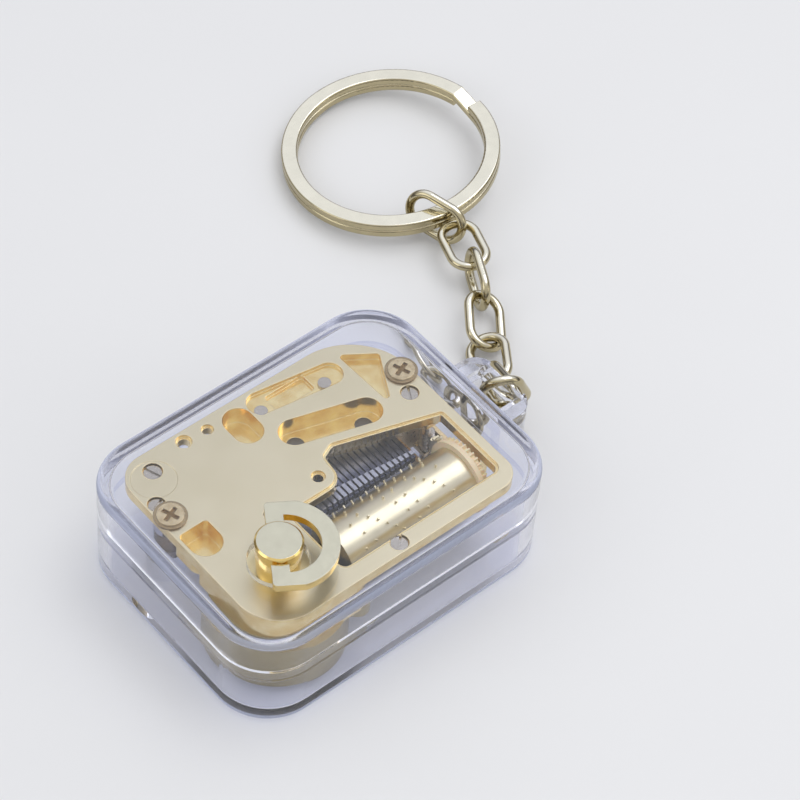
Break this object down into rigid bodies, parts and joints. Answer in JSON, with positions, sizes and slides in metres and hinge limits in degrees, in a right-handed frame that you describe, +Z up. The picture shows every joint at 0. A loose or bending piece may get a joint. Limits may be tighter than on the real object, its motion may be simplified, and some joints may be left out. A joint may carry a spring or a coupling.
{
  "type": "cylinder music box",
  "caption": "Keychain music box: wind-up pinned-cylinder movement hung in a clear rounded case, with a folding key on top and a link chain with a split ring.",
  "frame": {"origin": "centre of the case's underside, where the box rests", "axes": "+X runs from the case's middle to the chain lug, +Y from the cylinder's side to the comb's side, +Z up from the underside to the key"},
  "size_m": [0.0919, 0.0813, 0.02],
  "materials": {
    "clear_plastic": "clear, polished",
    "brass_screws": "plated, polished",
    "dark_screws": "blackened",
    "die_casting": "satin champagne plating",
    "comb_steel": "ground, tempered",
    "lead": "dull",
    "brass": "polished",
    "gear_plastic": "moulded",
    "drum": "satin",
    "spring_steel": "blued grey",
    "steel": "polished",
    "governor_plate": "satin",
    "key_gilt": "gilt plating, bright",
    "chain_gilt": "pale gilt plating, bright"
  },
  "bodies": {
    "case": {"case_lid": "clear_plastic", "case_tray": "clear_plastic", "case_screw_1": "brass_screws", "case_screw_2": "brass_screws", "bedplate": "die_casting", "plate_pin_1": "steel", "plate_pin_2": "steel", "side_screw_1": "steel", "side_screw_2": "steel", "side_screw_3": "steel", "side_screw_4": "steel", "comb": "comb_steel", "comb_weights": "lead", "comb_screw_1": "dark_screws", "comb_screw_2": "dark_screws", "spring_housing": "drum", "housing_screw_1": "steel", "housing_screw_2": "steel", "mainspring": "spring_steel", "governor_frame": "governor_plate", "governor_screw_1": "steel", "governor_screw_2": "steel", "end_plate": "steel"},
    "cylinder": {"cylinder": "brass", "cylinder_arbor": "steel", "cylinder_pinion": "brass", "cylinder_gear": "gear_plastic"},
    "great_wheel": {"great_wheel": "brass", "click": "steel"},
    "key": {"winding_arbor": "steel", "ratchet_wheel": "steel", "key_post": "key_gilt"},
    "wing": {"key_wing": "key_gilt"},
    "governor_arbor": {"governor_arbor": "steel", "worm_wheel": "brass"},
    "worm": {"worm": "steel", "fan": "steel"},
    "link_1": {"link_1": "chain_gilt"},
    "link_2": {"link_2": "chain_gilt"},
    "link_3": {"link_3": "chain_gilt"},
    "link_4": {"link_4": "chain_gilt"},
    "link_5": {"link_5": "chain_gilt"},
    "link_6": {"link_6": "chain_gilt"},
    "link_7": {"link_7": "chain_gilt"},
    "ring": {"split_ring": "chain_gilt"}
  },
  "joints": [
    {"name": "cylinder_spin", "type": "hinge", "parent": "case", "child": "cylinder", "pos_m": [0, -0.00755, 0.0084], "axis": [1, 0, 0], "continuous": true},
    {"name": "great_wheel_turn", "type": "hinge", "parent": "case", "child": "great_wheel", "pos_m": [-0.01295, -0.00755, 0.01], "axis": [0, 0, 1], "continuous": true},
    {"name": "key_turn", "type": "hinge", "parent": "great_wheel", "child": "key", "pos_m": [-0.01295, -0.00755, 0.014], "axis": [0, 0, 1], "continuous": true},
    {"name": "wing_fold", "type": "hinge", "parent": "key", "child": "wing", "pos_m": [-0.01295, -0.00755, 0.0187], "axis": [-0.5446, -0.8387, 0], "range_deg": [0, 180]},
    {"name": "governor_turn", "type": "hinge", "parent": "case", "child": "governor_arbor", "pos_m": [0.0194, -0.00211, 0.00586], "axis": [1, 0, 0], "continuous": true},
    {"name": "worm_turn", "type": "hinge", "parent": "case", "child": "worm", "pos_m": [0.0194, 0.00129, 0.00586], "axis": [0, 0, 1], "continuous": true},
    {"name": "link_1_swing", "type": "hinge", "parent": "case", "child": "link_1", "pos_m": [0.0309, -0.00004, 0.0099], "axis": [0, 1, 0], "range_deg": [-110, 26]},
    {"name": "link_2_swing", "type": "hinge", "parent": "link_1", "child": "link_2", "pos_m": [0.03345, -0.00021, 0.00464], "axis": [0, 0, -1], "range_deg": [-30, 6]},
    {"name": "link_3_swing", "type": "hinge", "parent": "link_2", "child": "link_3", "pos_m": [0.03518, 0.0061, 0.0024], "axis": [0, 0, 1], "range_deg": [-10, 40]},
    {"name": "link_4_swing", "type": "hinge", "parent": "link_3", "child": "link_4", "pos_m": [0.0388, 0.01093, 0.00184], "axis": [0.229, -0.2588, -0.9384], "range_deg": [-10, 6]},
    {"name": "link_5_swing", "type": "hinge", "parent": "link_4", "child": "link_5", "pos_m": [0.0431, 0.0165, 0.00296], "axis": [0, 0, 1], "range_deg": [-60, 64]},
    {"name": "link_6_swing", "type": "hinge", "parent": "link_5", "child": "link_6", "pos_m": [0.0465, 0.02311, 0.00355], "axis": [0, 0, -1], "range_deg": [-45, 55]},
    {"name": "link_7_swing", "type": "hinge", "parent": "link_6", "child": "link_7", "pos_m": [0.04898, 0.02837, 0.00312], "axis": [0, 0, 1], "range_deg": [-100, 10]},
    {"name": "ring_swing", "type": "hinge", "parent": "link_7", "child": "ring", "pos_m": [0.04775, 0.03242, 0.00355], "axis": [0, 0, -1], "range_deg": [-44, 3]}
  ],
  "couplings": [
    {"joint": "great_wheel_turn", "follows": "cylinder_spin", "ratio": -0.25},
    {"joint": "governor_turn", "follows": "cylinder_spin", "ratio": -5},
    {"joint": "worm_turn", "follows": "cylinder_spin", "ratio": 100}
  ]
}
